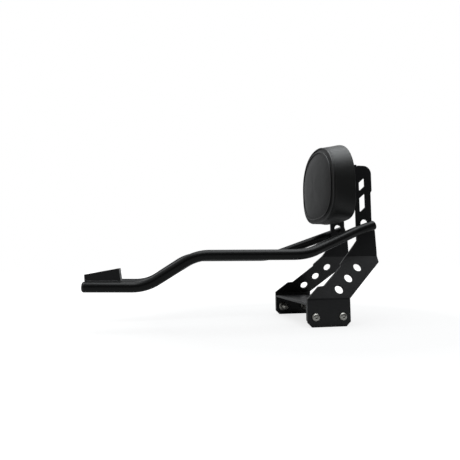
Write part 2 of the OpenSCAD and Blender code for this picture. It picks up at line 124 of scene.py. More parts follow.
class BackrestColours(bpy.types.PropertyGroup):
    """Colours of the finishes."""
    plate: colour("Plate coat", "Powder coat on the folded sheets", (0.0042, 0.0042, 0.0048))
    rail: colour("Rail coat", "Satin coat on the tubes", (0.0045, 0.0047, 0.0047))
    vinyl: colour("Vinyl", "Cover of the pad", (0.0048, 0.0050, 0.0046))
    welt: colour("Welt", "Cords round the front panel", (0.008, 0.0082, 0.008))
    plastic: colour("Plastic", "Plugs of the tubes", (0.007, 0.007, 0.007))
    stainless: colour("Stainless", "Flange bolts", (0.46, 0.45, 0.415))
    zinc: colour("Zinc", "Flange nuts", (0.26, 0.255, 0.235))
    foam: colour("Foam", "Filling of the pad", (0.75, 0.70, 0.52))
    board: colour("Board", "Base board of the pad", (0.40, 0.28, 0.17))
    insert: colour("Inserts", "Yellow zinc on the threaded inserts", (0.70, 0.62, 0.38))
    black_steel: colour("Black steel", "Screws and washers of the pad", (0.045, 0.045, 0.048))
    thread: colour("Thread", "Sewing thread", (0.030, 0.030, 0.029))
    staple: colour("Staples", "Wire of the staples", (0.62, 0.62, 0.62))
    floor: colour("Floor", "Floor of the studio", (0.42, 0.42, 0.42))


# Shader nodes

def feed(tree, socket, value):
    """Links an input to a socket or to a node's first output, or sets it to a plain value."""
    if isinstance(value, bpy.types.Node):
        value = value.outputs[0]
    if isinstance(value, bpy.types.NodeSocket):
        tree.links.new(value, socket)
    else:
        socket.default_value = value


def add_node(tree, kind, **settings):
    """Adds a node; a setting is one of its properties, or else an input with _ for each space."""
    made = tree.nodes.new(kind)
    row, column = divmod(len(tree.nodes), 6)
    made.location = (column * 240, row * -360)
    for name, value in settings.items():
        if hasattr(made, name):
            setattr(made, name, value)
        else:
            feed(tree, made.inputs[name.replace("_", " ")], value)
    return made


def mixed(tree, share, first, second, kind="RGBA", blend="MIX"):
    """The mix of two colours, or of two floats, by a share."""
    made = add_node(tree, "ShaderNodeMix", data_type=kind, blend_type=blend)
    first_input, result = (6, 2) if kind == "RGBA" else (2, 0)
    feed(tree, made.inputs[0], share)
    feed(tree, made.inputs[first_input], first)
    feed(tree, made.inputs[first_input + 1], second)
    return made.outputs[result]


def mixed_shaders(tree, share, first, second):
    """The mix of two shaders by a share."""
    made = add_node(tree, "ShaderNodeMixShader")
    for socket, value in zip(made.inputs, (share, first, second)):
        feed(tree, socket, value)
    return made


def worked_out(tree, operation, first, second):
    """A sum, product or other result of two values."""
    made = add_node(tree, "ShaderNodeMath", operation=operation)
    feed(tree, made.inputs[0], first)
    feed(tree, made.inputs[1], second)
    return made


def ranged(tree, value, source, target=(0.0, 1.0)):
    """A value taken from one range to another and held at both ends."""
    return add_node(tree, "ShaderNodeMapRange", Value=value, From_Min=source[0], From_Max=source[1],
                    To_Min=target[0], To_Max=target[1])


def shader_group(name, inputs, outputs):
    """An empty shader group with a vector input, named float inputs and named outputs."""
    tree = bpy.data.node_groups.new(name, "ShaderNodeTree")
    tree.interface.new_socket(name="Vector", in_out="INPUT", socket_type="NodeSocketVector")
    for label, value in inputs.items():
        socket = tree.interface.new_socket(name=label, in_out="INPUT", socket_type="NodeSocketFloat")
        socket.default_value = value
    for label in outputs:
        tree.interface.new_socket(name=label, in_out="OUTPUT", socket_type="NodeSocketFloat")
    return tree, add_node(tree, "NodeGroupInput"), add_node(tree, "NodeGroupOutput")


@cache
def grain_group():
    """Fine raised grain: rounded cells and noise, with a height and a mask of the valleys where painted shade
    darkens the colour.
    """
    tree, entry, leave = shader_group("Surface grain", {"Scale": 900.0, "Cells": 0.5}, ["Height", "Valley"])
    given = entry.outputs
    cells = add_node(tree, "ShaderNodeTexVoronoi", feature="SMOOTH_F1",
                     Vector=given["Vector"], Scale=given["Scale"], Smoothness=0.35)
    fine = add_node(tree, "ShaderNodeTexNoise", Vector=given["Vector"], Scale=given["Scale"], Detail=3.0)
    height = mixed(tree, given["Cells"], fine, cells, "FLOAT")
    feed(tree, leave.inputs["Height"], height)
    feed(tree, leave.inputs["Valley"], ranged(tree, height, (0.55, 0.8)))
    return tree


@cache
def wear_group():
    """Slow uneven change over the surface, and faint rubbed streaks."""
    tree, entry, leave = shader_group("Handling marks", {"Size": 14.0, "Streaks": 60.0}, ["Cloud", "Rubbed"])
    given = entry.outputs
    cloud = add_node(tree, "ShaderNodeTexNoise", Vector=given["Vector"], Scale=given["Size"], Detail=5.0)
    stretched = add_node(tree, "ShaderNodeMapping", Vector=given["Vector"], Scale=(0.25, 1.0, 1.6))
    streaks = add_node(tree, "ShaderNodeTexNoise", Vector=stretched, Scale=given["Streaks"], Detail=8.0)
    feed(tree, leave.inputs["Cloud"], cloud)
    feed(tree, leave.inputs["Rubbed"], ranged(tree, streaks, (0.60, 0.78)))
    return tree


def finish(name, tint, rough, metal=0.0, gloss=0.5, grain=900, cells=0.5, relief=0.05, uneven=0.16,
           cloud=14, streaks=60, rub=0.3, stretch=(1.0, 1.0, 1.0)):
    """A finish with uneven tint and roughness, a grain (relief in mm) with painted shade in its valleys, and
    faint rubbed streaks.
    """
    made = bpy.data.materials.new(name)
    made.use_nodes = True
    tree = made.node_tree
    place = add_node(tree, "ShaderNodeTexCoord")
    turned = add_node(tree, "ShaderNodeMapping", Vector=place.outputs["Object"], Scale=stretch)
    skin = add_node(tree, "ShaderNodeGroup", node_tree=grain_group(), Vector=turned,
                    Scale=grain, Cells=cells).outputs
    marks = add_node(tree, "ShaderNodeGroup", node_tree=wear_group(), Vector=turned,
                     Size=cloud, Streaks=streaks).outputs
    dark = [channel * (1 - uneven) for channel in tint]
    light = [min(1.0, channel * (1 + uneven)) for channel in tint]
    tone = mixed(tree, marks["Cloud"], (*dark, 1), (*light, 1))
    # Painted shade: the grain's valleys are darkened to 0.72 of the tint
    deep = mixed(tree, skin["Valley"], tone, (0.72, 0.72, 0.72, 1), blend="MULTIPLY")
    base = ranged(tree, marks["Cloud"], (0.0, 1.0), (rough * 0.9, min(1.0, rough * 1.12)))
    polished = ranged(tree, marks["Rubbed"], (0.0, 1.0), (0.0, -0.25 * rough * rub))
    bump = add_node(tree, "ShaderNodeBump", Distance=relief * MM, Height=skin["Height"])
    shader = tree.nodes["Principled BSDF"]
    shader.inputs["Metallic"].default_value = metal
    shader.inputs["Specular IOR Level"].default_value = gloss
    feed(tree, shader.inputs["Base Color"], deep)
    feed(tree, shader.inputs["Roughness"], worked_out(tree, "ADD", base, polished))
    feed(tree, shader.inputs["Normal"], bump)
    return made


# What each material slot is made of; a tint names one of the backrest's colours
RECIPES = {
    "plate_coat": dict(name="powder_coat", tint="plate", rough=0.38, gloss=0.44, grain=1500, cells=0.35,
                       relief=0.035, uneven=0.14),
    "rail_coat": dict(name="satin_tube_coat", tint="rail", rough=0.31, gloss=0.19, grain=1100, cells=0.2,
                      relief=0.012, uneven=0.10, cloud=9),
    "pad_vinyl": dict(name="grained_vinyl", tint="vinyl", rough=0.44, gloss=0.38, grain=850, cells=0.85,
                      relief=0.11, uneven=0.10, cloud=11, rub=0.5),
    "piping_vinyl": dict(name="welt_vinyl", tint="welt", rough=0.40, grain=1000, cells=0.7, uneven=0.10),
    "plug_plastic": dict(name="moulded_plastic", tint="plastic", rough=0.42, gloss=0.45, grain=1300,
                         cells=0.6, relief=0.02, uneven=0.08),
    "foam": dict(name="foam", tint="foam", rough=0.95, gloss=0.2, grain=700, cells=0.9, relief=0.4,
                 uneven=0.08),
    "board_wood": dict(name="plywood", tint="board", rough=0.70, gloss=0.35, grain=500, cells=0.1,
                       relief=0.10, uneven=0.35, cloud=30, stretch=(1.0, 6.0, 0.6)),
    "stainless": dict(name="turned_stainless", tint="stainless", rough=0.30, metal=1.0, grain=2200,
                      cells=0.1, relief=0.006, uneven=0.10, cloud=80, streaks=500),
    "zinc_steel": dict(name="zinc_plate", tint="zinc", rough=0.38, metal=1.0, grain=1600, cells=0.2,
                       relief=0.010, uneven=0.15, cloud=90, streaks=400),
    "insert_steel": dict(name="yellow_zinc", tint="insert", rough=0.36, metal=1.0, grain=1600, cells=0.2,
                         relief=0.010, uneven=0.2, cloud=90),
    "black_steel": dict(name="black_oxide", tint="black_steel", rough=0.38, metal=0.6, grain=1800,
                        cells=0.2, relief=0.008, uneven=0.15, cloud=90),
    "weld": dict(name="coated_weld", tint="plate", rough=0.34, gloss=0.6, cells=0.3, relief=0.03,
                 uneven=0.15),
    "thread": dict(name="sewing_thread", tint="thread", rough=0.55, gloss=0.4, grain=2600, cells=0.2,
                   relief=0.04, uneven=0.15),
    "staple": dict(name="staple_wire", tint="staple", rough=0.30, metal=1.0, grain=2000, cells=0.1,
                   relief=0.005, uneven=0.10),
}


@cache
def finish_of(slot):
    """The finish of a material slot."""
    recipe = dict(RECIPES[slot])
    tint = getattr(bpy.context.scene.backrest_colours, recipe.pop("tint"))
    return finish(tint=tint, **recipe)


# Meshes

def link(obj):
    """Puts an object into the scene."""
    bpy.context.scene.collection.objects.link(obj)
    return obj


def piece_from(name, build, finish_slot, sharp=35.0):
    """Makes a piece from a bmesh, with smooth faces and sharp edges above an angle."""
    mesh = bpy.data.meshes.new(name)
    build.to_mesh(mesh)
    build.free()
    return dress(name, mesh, finish_slot, sharp)


def dress(name, mesh, finish_slot, sharp=35.0):
    """Turns a mesh into a shown piece with one finish."""
    mesh.name = name
    mesh.materials.clear()
    mesh.materials.append(finish_of(finish_slot))
    for face in mesh.polygons:
        face.use_smooth = True
        face.material_index = 0
    mesh.set_sharp_from_angle(angle=math.radians(sharp))
    return link(bpy.data.objects.new(name, mesh))


def add_rings(build, rings, cap_start=True, cap_end=True):
    """Adds a skin through rings of as many points each; the rings turn round the way they go."""
    made = [[build.verts.new(point) for point in ring] for ring in rings]
    count = len(made[0])
    for first, second in zip(made, made[1:]):
        for i in range(count):
            j = (i + 1) % count
            build.faces.new((first[i], first[j], second[j], second[i]))
    for ring, wanted in ((made[0], cap_start), (made[-1], cap_end)):
        if not wanted:
            continue
        middle = build.verts.new(sum((v.co for v in ring), Vector()) / count)
        for i in range(count):
            build.faces.new((ring[i], ring[(i + 1) % count], middle))
    return made


def outward(build):
    """Merges doubles and turns all faces outward."""
    bmesh.ops.remove_doubles(build, verts=build.verts, dist=1e-7)
    bmesh.ops.recalc_face_normals(build, faces=build.faces)


def axes_along(direction, up=Vector((0, 0, 1))):
    """A rotation whose Z goes along a direction."""
    z = Vector(direction).normalized()
    if abs(z.dot(up)) > 0.99:
        up = Vector((1, 0, 0))
    x = up.cross(z).normalized()
    y = z.cross(x)
    return Matrix((x, y, z)).transposed()


def turned_ring(place, axes, height, radius, count, flats=0.0):
    """Ring round an axis; flats gives a hexagon of that distance across, cut by the radius."""
    ring = []
    for i in range(count):
        angle = 2 * math.pi * i / count
        r = radius
        if flats:
            inner = (angle + math.pi / 6) % (math.pi / 3) - math.pi / 6
            r = min(radius, flats / 2 / math.cos(inner))
        ring.append(place + axes @ Vector((r * math.cos(angle), r * math.sin(angle), height)))
    return ring


def turned_body(build, place, direction, profile, count=48, cap_start=True, cap_end=True):
    """Adds a turned body; the profile is (height, radius) or (height, radius, across flats)."""
    axes = axes_along(direction)
    rings = [turned_ring(Vector(place), axes, *step[:2], count, *step[2:]) for step in profile]
    add_rings(build, rings, cap_start, cap_end)


def line_mesh(name, points, closed=False):
    """A row of points joined by edges, the path that a node tree follows."""
    mesh = bpy.data.meshes.new(name)
    edges = [(i, i + 1) for i in range(len(points) - 1)]
    if closed:
        edges.append((len(points) - 1, 0))
    mesh.from_pydata([tuple(p) for p in points], edges, [])
    return link(bpy.data.objects.new(name, mesh))


def baked_mesh(obj):
    """The mesh that an object's modifiers make; the object itself is removed."""
    bpy.context.view_layer.update()
    live = obj.evaluated_get(bpy.context.evaluated_depsgraph_get())
    mesh = bpy.data.meshes.new_from_object(live)
    bpy.data.objects.remove(obj)
    return mesh


def corner_places(node, inset):
    """The four places (Y, Z) at the corners of a node's box, drawn in by an inset."""
    lo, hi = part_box(node)
    return [(y, z) for y in (lo.y + inset, hi.y - inset) for z in (lo.z + inset, hi.z - inset)]


# Geometry node trees

def node_tree(name, sizes):
    """A geometry tree with a path in, a mesh out, a finish and named sizes."""
    tree = bpy.data.node_groups.new(name, "GeometryNodeTree")
    tree.interface.new_socket(name="Path", in_out="INPUT", socket_type="NodeSocketGeometry")
    tree.interface.new_socket(name="Finish", in_out="INPUT", socket_type="NodeSocketMaterial")
    for label, value in sizes.items():
        kind = "NodeSocketInt" if isinstance(value, int) else "NodeSocketFloat"
        socket = tree.interface.new_socket(name=label, in_out="INPUT", socket_type=kind)
        socket.default_value = value
    tree.interface.new_socket(name="Mesh", in_out="OUTPUT", socket_type="NodeSocketGeometry")
    entry = add_node(tree, "NodeGroupInput")
    leave = add_node(tree, "NodeGroupOutput")
    return tree, entry, leave


def end_tree(tree, entry, leave, geometry):
    """Ends a tree in Realize Instances and Set Material."""
    real = add_node(tree, "GeometryNodeRealizeInstances", Geometry=geometry)
    paint = add_node(tree, "GeometryNodeSetMaterial", Geometry=real, Material=entry.outputs["Finish"])
    feed(tree, leave.inputs[0], paint)
    return tree


def places_along(tree, entry):
    """Points at even steps along the path, and the rotation that turns Z along it."""
    path = add_node(tree, "GeometryNodeMeshToCurve", Mesh=entry.outputs["Path"])
    places = add_node(tree, "GeometryNodeCurveToPoints", mode="LENGTH", Curve=path,
                      Length=entry.outputs["Step"])
    along = add_node(tree, "FunctionNodeAlignRotationToVector", axis="Z",
                     Vector=places.outputs["Tangent"])
    return places, along


@cache
def swept_tree():
    """The skin of a round cord or tube along the path, open at both ends."""
    tree, entry, leave = node_tree("Swept cord", {"Radius": 0.01, "Sides": 32})
    path = add_node(tree, "GeometryNodeMeshToCurve", Mesh=entry.outputs["Path"])
    ring = add_node(tree, "GeometryNodeCurvePrimitiveCircle",
                    Resolution=entry.outputs["Sides"], Radius=entry.outputs["Radius"])
    skin = add_node(tree, "GeometryNodeCurveToMesh", Curve=path, Profile_Curve=ring)
    return end_tree(tree, entry, leave, skin)


@cache
def row_tree():
    """Small rounded bodies in a row along the path: stitches or the ripples of a weld."""
    sizes = {"Step": 0.004, "Long": 0.0015, "Wide": 0.0004, "High": 0.0004, "Tilt": 0.0, "Faces": 8}
    tree, entry, leave = node_tree("Row along a path", sizes)
    given = entry.outputs
    places, along = places_along(tree, entry)
    body = add_node(tree, "GeometryNodeMeshUVSphere", Segments=given["Faces"], Rings=6, Radius=1.0)
    smooth = add_node(tree, "GeometryNodeSetShadeSmooth")
    feed(tree, smooth.inputs[0], body)
    size = add_node(tree, "ShaderNodeCombineXYZ", X=given["Wide"], Y=given["High"], Z=given["Long"])
    tilt = add_node(tree, "ShaderNodeCombineXYZ", X=given["Tilt"])
    spin = add_node(tree, "FunctionNodeEulerToRotation", Euler=tilt)
    turn = add_node(tree, "FunctionNodeRotateRotation", rotation_space="LOCAL",
                    Rotation=along, Rotate_By=spin)
    set_out = add_node(tree, "GeometryNodeInstanceOnPoints", Points=places, Instance=smooth,
                       Rotation=turn, Scale=size)
    return end_tree(tree, entry, leave, set_out)


@cache
def staple_tree():
    """The flat crowns of staples along the path, turned square to X."""
    tree, entry, leave = node_tree("Staples", {"Step": 0.019, "Crown": 0.010, "Wire": 0.0007})
    wire = entry.outputs["Wire"]
    places, along = places_along(tree, entry)
    size = add_node(tree, "ShaderNodeCombineXYZ", X=wire, Y=wire, Z=entry.outputs["Crown"])
    crown = add_node(tree, "GeometryNodeMeshCube", Size=size, Vertices_Z=4)
    upright = add_node(tree, "FunctionNodeAlignRotationToVector", axis="X", pivot_axis="Z",
                       Rotation=along, Vector=(1, 0, 0))
    set_out = add_node(tree, "GeometryNodeInstanceOnPoints", Points=places, Instance=crown,
                       Rotation=upright)
    return end_tree(tree, entry, leave, set_out)


@cache
def screw_thread_tree():
    """A screw thread round Z from the origin up; the path only starts the tree."""
    sizes = {"Radius": 0.005, "Pitch": 0.0015, "Length": 0.017, "Depth": 0.0005}
    tree, entry, leave = node_tree("Screw thread", sizes)
    given = entry.outputs
    turns = worked_out(tree, "DIVIDE", given["Length"], given["Pitch"])
    helix = add_node(tree, "GeometryNodeCurveSpiral", Resolution=32, Rotations=turns,
                     Start_Radius=given["Radius"], End_Radius=given["Radius"], Height=given["Length"])
    tooth = add_node(tree, "GeometryNodeCurvePrimitiveCircle", Resolution=4, Radius=given["Depth"])
    skin = add_node(tree, "GeometryNodeCurveToMesh", Curve=helix, Profile_Curve=tooth, Fill_Caps=True)
    return end_tree(tree, entry, leave, skin)


def bake(name, path, tree_maker, finish_slot, sharp=35.0, **sizes):
    """Runs a node tree on a path and keeps the result as a plain mesh piece."""
    tree = tree_maker()
    known = {item.name: item.identifier for item in tree.interface.items_tree if item.in_out == "INPUT"}
    grower = path.modifiers.new("Grower", "NODES")
    grower.node_group = tree
    grower[known["Finish"]] = finish_of(finish_slot)
    for label, value in sizes.items():
        grower[known[label]] = value
    mesh = baked_mesh(path)
    if not mesh.polygons:
        raise RuntimeError(f"{name}: the node tree made no faces")
    return dress(name, mesh, finish_slot, sharp)


def joined(name, parts, finish_slot, sharp=35.0):
    """Joins pieces of one finish into one."""
    build = bmesh.new()
    for part in parts:
        build.from_mesh(part.data)
        bpy.data.objects.remove(part)
    return piece_from(name, build, finish_slot, sharp)


def hand_over(obj, slot, *nodes):
    """Puts a finished piece under the root body and hides the solids that it stands for."""
    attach(obj, "root")
    if nodes:
        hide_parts(*nodes)


def turned_piece(name, build, slot, node, sharp=32):
    """Closes turned bodies, makes them a piece of one finish and hands it over for a node."""
    outward(build)
    hand_over(piece_from(name, build, slot, sharp), slot, node)


# Folded sheets

def finished_sheet(node, slot, width):
    """A sheet with its cut edges rounded, made from a merged copy of the solid."""
    build = bmesh.new()
    build.from_mesh(frame["nodes"][node].data)
    bmesh.ops.remove_doubles(build, verts=build.verts, dist=2e-6)
    bmesh.ops.dissolve_degenerate(build, edges=build.edges, dist=1e-6)
    bmesh.ops.dissolve_limit(build, angle_limit=math.radians(0.6), verts=build.verts, edges=build.edges)
    sharp = [edge for edge in build.edges
             if len(edge.link_faces) == 2 and edge.calc_face_angle(0) > math.radians(40)]
    bmesh.ops.bevel(build, geom=sharp, offset=width, segments=2, profile=0.6, affect="EDGES",
                    clamp_overlap=True)
    bmesh.ops.triangulate(build, faces=[face for face in build.faces if len(face.verts) > 4])
    sheet = piece_from("sheet", build, slot, 32)
    flat = sheet.modifiers.new("Flat faces", "WEIGHTED_NORMAL")
    flat.keep_sharp = True
    mesh = baked_mesh(sheet)
    mesh.name = node + "_sheet"
    hand_over(link(bpy.data.objects.new(node + "_sheet", mesh)), slot, node)


class BACKREST_OT_sheets(bpy.types.Operator):
    """Finishes the folded side plates, the bridge, the carrier and the seat tab"""
    bl_idname = "backrest.sheets"
    bl_label = "Folded sheets"

    def execute(self, context):
        width = context.scene.backrest_sizes.edge_round
        for node in ("side_plate_left", "side_plate_right", "cross_bridge", "pad_carrier", "seat_tab"):
            finished_sheet(node, "plate_coat", width)
        return {"FINISHED"}


# Rails

# Corners of a rail's centre line from its front end to its rear end, in mm
RAIL_CORNERS = [(-504, 82, 45), (-384, 90, 43), (-283, 118, 107), (-57, 142, 107), (86, 83.8, 161),
                (128.5, 83.8, 175.2)]


def rail_corners(side):
    """Corner points of one rail's centre line."""
    return [Vector((x, side * y, z)) * MM for x, y, z in RAIL_CORNERS]


def bent_line(corners, radius, steps=18, run=0.012):
    """Points along straight runs joined by round bends."""
    points = [corners[0]]
    for before, corner, after in zip(corners, corners[1:], corners[2:]):
        into = (corner - before).normalized()
        out = (after - corner).normalized()
        turn = into.angle(out)
        trim = radius * math.tan(turn / 2)
        normal = into.cross(out).normalized()
        centre = corner - into * trim + normal.cross(into) * radius
        arm = corner - into * trim - centre
        points += [centre + Matrix.Rotation(turn * k / steps, 3, normal) @ arm for k in range(steps + 1)]
    points.append(corners[-1])
    filled = []
    for a, b in zip(points, points[1:]):
        pieces = max(1, int((b - a).length / run))
        filled += [a.lerp(b, k / pieces) for k in range(pieces)]
    return filled + [points[-1]]


class BACKREST_OT_rails(bpy.types.Operator):
    """Sweeps the two bent tubes and turns their plugs"""
    bl_idname = "backrest.rails"
    bl_label = "Rails and plugs"

    def execute(self, context):
        sizes = context.scene.backrest_sizes
        radius = sizes.rail_diameter / 2
        for word, side in SIDES.items():
            corners = rail_corners(side)
            route = bent_line(corners, sizes.rail_bend)
            skins = []
            for part, r in (("outer", radius), ("bore", radius - sizes.rail_wall)):
                path = line_mesh("rail_path", route)
                skins.append(bake(f"rail_{part}", path, swept_tree, "rail_coat", Radius=r, Sides=56))
            build = bmesh.new()
            build.from_mesh(skins[1].data)
            bmesh.ops.reverse_faces(build, faces=build.faces)
            build.from_mesh(skins[0].data)
            for skin in skins:
                bpy.data.objects.remove(skin)
            rims = [edge for edge in build.edges if edge.is_boundary]
            near = [edge for edge in rims if (edge.verts[0].co - corners[0]).length < 2 * radius]
            for loop in (near, [edge for edge in rims if edge not in near]):
                bmesh.ops.bridge_loops(build, edges=loop)
            bmesh.ops.recalc_face_normals(build, faces=build.faces)
            hand_over(piece_from(f"rail_tube_{word}", build, "rail_coat", 40), "rail_coat", f"rail_{word}")
            self.plugs(corners, word, radius, sizes.rail_wall)
        return {"FINISHED"}

    def plugs(self, corners, word, radius, wall):
        """Domed plug at the front, flat plug at the rear, both with a ribbed stem in the bore."""
        bore = radius - wall - 0.3 * MM
        stem, rib_step, rib_width, rib_depth = 12 * MM, 3.6 * MM, 0.8 * MM, 0.7 * MM
        dome_height, dome_start = 5.5 * MM, 1 * MM
        dome_arc, dome_steps = 4.5 * MM, 8
        ribs = []
        for k in range(3):
            base = k * rib_step - stem
            foot = bore - rib_depth
            ribs += [(base, foot), (base + rib_width, bore), (base + 2 * rib_width, foot)]
        dome = [(0.1 * MM, bore - 0.4 * MM), (0.1 * MM, radius - 0.2 * MM), (0.6 * MM, radius)]
        for k in range(dome_steps + 1):
            angle = math.pi / 2 * k / dome_steps
            rise = dome_start + (dome_arc - 0.1 * MM) * math.sin(angle)
            dome.append((rise, radius - dome_arc * (1 - math.cos(angle))))
        dome.append((dome_height, radius * 0.3))
        flat = [(0.1 * MM, bore - 0.4 * MM), (0.1 * MM, radius - 0.6 * MM), (1.0 * MM, radius - 0.6 * MM),
                (1.6 * MM, radius - 1.0 * MM), (1.9 * MM, radius - 1.8 * MM), (2 * MM, radius * 0.5)]
        for end, place, before, cap in (("front", corners[0], corners[1], dome),
                                        ("rear", corners[-1], corners[-2], flat)):
            build = bmesh.new()
            turned_body(build, place, place - before, ribs + cap, 56)
            turned_piece(f"{end}_cap_{word}", build, "plug_plastic", f"{end}_plug_{word}", 40)


# Welds

class BACKREST_OT_welds(bpy.types.Operator):
    """Lays the weld beads between rails, seat tab, carrier and plates"""
    bl_idname = "backrest.welds"
    bl_label = "Welds"

    def execute(self, context):
        sizes = context.scene.backrest_sizes
        radius = sizes.rail_diameter / 2
        tab_sheet = 4 * MM
        sunk = 0.3 * MM
        beads = []
        for side in (LEFT, RIGHT):
            corners = rail_corners(side)
            start, end = corners[-2], corners[-1]
            run = (end - start).normalized()
            rise = Vector((-run.z, 0, run.x))
            wall_y = side * (abs(start.y) - radius)
            for up in (-1, 1):
                lift = rise * up * radius * 0.62
                first = start + run * 12 * MM + lift
                last = end - run * 5 * MM + lift
                beads.append([Vector((p.x, wall_y + side * 1.6 * MM, p.z)) for p in (first, last)])
            ear = side * (CARRIER_HI.y - 0.6 * MM)
            beads.append([Vector((CARRIER_HI.x + 0.4 * MM, ear, z))
                          for z in (CARRIER_LO.z + 6 * MM, CARRIER_HI.z - 6 * MM)])
        tab_lo, tab_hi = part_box("seat_tab")
        for y in (tab_lo.y - sunk, tab_lo.y + tab_sheet + sunk):
            beads.append([Vector((tab_lo.x + 3 * MM, y, tab_lo.z - sunk)),
                          Vector((tab_hi.x - 7 * MM, y, tab_lo.z - 1.2 * MM))])
        parts = []
        for bead in beads:
            path = line_mesh("bead_path", [bead[0].lerp(bead[1], k / 24) for k in range(25)])
            r = sizes.weld_radius
            parts.append(bake("bead", path, row_tree, "weld", 60, Step=sizes.weld_step, Long=r * 0.62,
                              Wide=r, High=r, Tilt=0.45, Faces=14))
        hand_over(joined("weld_beads", parts, "weld", 60), "plate_coat")
        return {"FINISHED"}


# Pad

PAD_COLUMNS = 216
# Front-to-back profile of the cover before it swells: place along X and inset from the outline, in mm
PAD_PROFILE = [
    (19.6, 91), (19.7, 80), (20.0, 68), (20.7, 56), (21.9, 42), (23.3, 30), (24.6, 21), (25.8, 15.5),
    (26.6, 12.8), (27.4, 11.4), (28.6, 10.2), (29.6, 8.8), (30.3, 7.2), (30.6, 5.6), (30.5, 4.4), (30.4, 3.6),
    (30.9, 2.8), (32.0, 2.0), (34.0, 1.3), (37.0, 0.9), (44.0, 0.8), (53.0, 0.8), (62.0, 0.6), (70.0, 0.3),
    (75.5, 0.2),
    (78.2, 0.8), (79.7, 2.6), (80.3, 6.0), (80.3, 12.0), (80.3, 19.0), (80.3, 25.0)]
# Places of the welts and of the rows of stitches, in the same way
WELT_ROWS = ((26.4, 11.4), (29.9, 1.9))
STITCH_ROWS = ((24.6, 16.0), (34.6, -0.2))
# Shape of the outline at the front seam and at the back: half width, height above and below the
# middle as shares of the solid pad's, and how square the upper and the lower corners are
FRONT_SHAPE = (0.990, 0.961, 0.997, 2.18, 2.85)
BACK_SHAPE = (1.040, 1.060, 0.984, 2.15, 5.0)
FRONT_SEAM, BACK_EDGE = 29.5 * MM, 78 * MM


def outline_angles(count):
    """Angles that space the columns evenly round the pad's outline."""
    fine = 1440
    points = [outline_point(2 * math.pi * k / fine, 0) for k in range(fine + 1)]
    reach = [0.0]
    for a, b in zip(points, points[1:]):
        reach.append(reach[-1] + (b - a).length)
    angles = []
    k = 0
    for i in range(count):
        goal = reach[-1] * i / count
        while reach[k + 1] < goal:
            k += 1
        share = (goal - reach[k]) / (reach[k + 1] - reach[k])
        angles.append(2 * math.pi * (k + share) / fine)
    return angles


def outline_point(angle, inset, x=0.0):
    """Point of the pad's outline, which grows and gets squarer towards the back, drawn in by an inset."""
    share = min(1.0, max(0.0, (x - FRONT_SEAM) / (BACK_EDGE - FRONT_SEAM)))
    shape = [front + (back - front) * share for front, back in zip(FRONT_SHAPE, BACK_SHAPE)]
    wide, above, below, top_square, low_square = shape
    c, s = math.cos(angle), math.sin(angle)
    half_w = wide * (PAD_HI.y - PAD_LO.y) / 2 - inset
    half_h = (above if s > 0 else below) * (PAD_HI.z - PAD_LO.z) / 2 - inset
    power = 2 / (top_square if s > 0 else low_square)
    y = half_w * math.copysign(abs(c) ** power, c)
    z = half_h * math.copysign(abs(s) ** power, s)
    return Vector((x, y, PAD_MIDDLE + z))


def smooth_profile(steps):
    """The profile's points with smooth points between them, about evenly spaced."""
    rows = []
    last = len(PAD_PROFILE) - 1
    for i in range(last):
        p = [Vector(PAD_PROFILE[max(0, min(last, i + k))]) for k in (-1, 0, 1, 2)]
        gap = (p[2] - p[1]).length
        count = max(1, round(gap / steps))
        for k in range(count):
            t = k / count
            rows.append(0.5 * (2 * p[1] + (p[2] - p[0]) * t + (2 * p[0] - 5 * p[1] + 4 * p[2] - p[3]) * t * t
                               + (3 * p[1] - p[0] - 3 * p[2] + p[3]) * t * t * t))
    rows.append(Vector(PAD_PROFILE[last]))
    return rows


# Settings of the cloth that swells under pressure
CLOTH = {"quality": 6, "mass": 0.3, "tension_stiffness": 12, "compression_stiffness": 8,
         "shear_stiffness": 6, "bending_stiffness": 2.0, "use_pressure": True,
         "uniform_pressure_force": 4.0, "vertex_group_mass": "hold"}
CLOTH_FRAMES = 20


def swell(obj, pinned, limit):
    """Blows the cover up with its seams held, and keeps the result in the mesh."""
    rest = [v.co.copy() for v in obj.data.vertices]
    hold = obj.vertex_groups.new(name="hold")
    for index, weight in pinned.items():
        hold.add([index], weight, "REPLACE")
    cloth = obj.modifiers.new("Swell", "CLOTH")
    for name, value in CLOTH.items():
        setattr(cloth.settings, name, value)
    cloth.settings.effector_weights.gravity = 0.0
    cloth.collision_settings.use_collision = False
    cloth.collision_settings.use_self_collision = False
    scene = bpy.context.scene
    for step in range(1, CLOTH_FRAMES + 1):
        scene.frame_set(step)
    live = obj.evaluated_get(bpy.context.evaluated_depsgraph_get())
    moved = [v.co.copy() for v in live.data.vertices]
    obj.modifiers.remove(cloth)
    scene.frame_set(1)
    for vertex, old, new in zip(obj.data.vertices, rest, moved):
        shift = new - old
        if shift.length > limit:
            shift *= limit / shift.length
        vertex.co = old + shift
    obj.vertex_groups.clear()


def bump_up(distance, width):
    """Smooth fall from 1 at no distance to 0 at the width."""
    t = max(0.0, 1.0 - abs(distance) / width)
    return t * t * (3 - 2 * t)


